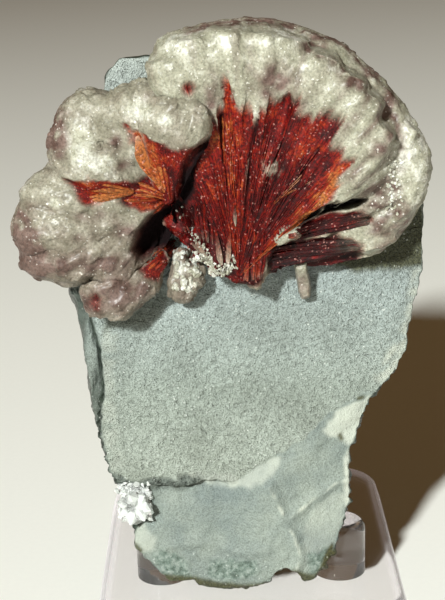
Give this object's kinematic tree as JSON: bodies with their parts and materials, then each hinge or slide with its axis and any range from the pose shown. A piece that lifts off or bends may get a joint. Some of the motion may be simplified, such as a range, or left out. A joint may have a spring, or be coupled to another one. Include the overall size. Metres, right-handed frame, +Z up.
{
  "type": "heulandite specimen",
  "caption": "Fan-shaped red and white heulandite crystals on a pale blue-green chalcedony slab, standing on a clear acrylic peg stand.",
  "frame": {"origin": "on the underside of the stand's base plate, midway between its sides and 30.5 mm in front of its back edge", "axes": "+Z up, -Y towards the side that the crystals face, +X to the viewer's right"},
  "size_m": [0.07, 0.0713, 0.1054],
  "materials": {
    "clear_acrylic": "polished clear acrylic with a faint lilac tint",
    "chalcedony": "pale blue-green translucent chalcedony, fine druse on the face, waxy where broken",
    "heulandite_red": "red translucent blades with a pearly striated lustre and frosted white ends",
    "heulandite_white": "frosted cream-white crystals with a pearly lustre",
    "clear_quartz": "clear to white glassy crystals"
  },
  "bodies": {
    "root": {"stand_base": "clear_acrylic", "stand_peg_left": "clear_acrylic", "stand_peg_right": "clear_acrylic", "stand_peg_rear": "clear_acrylic", "chalcedony_matrix": "chalcedony", "heulandite_main_fan": "heulandite_red", "heulandite_left_rosette": "heulandite_white", "heulandite_lower_sheaf": "heulandite_white", "heulandite_foot_sheaf": "heulandite_white", "heulandite_lone_blade": "heulandite_white", "quartz_crystals": "clear_quartz"}
  },
  "joints": []
}
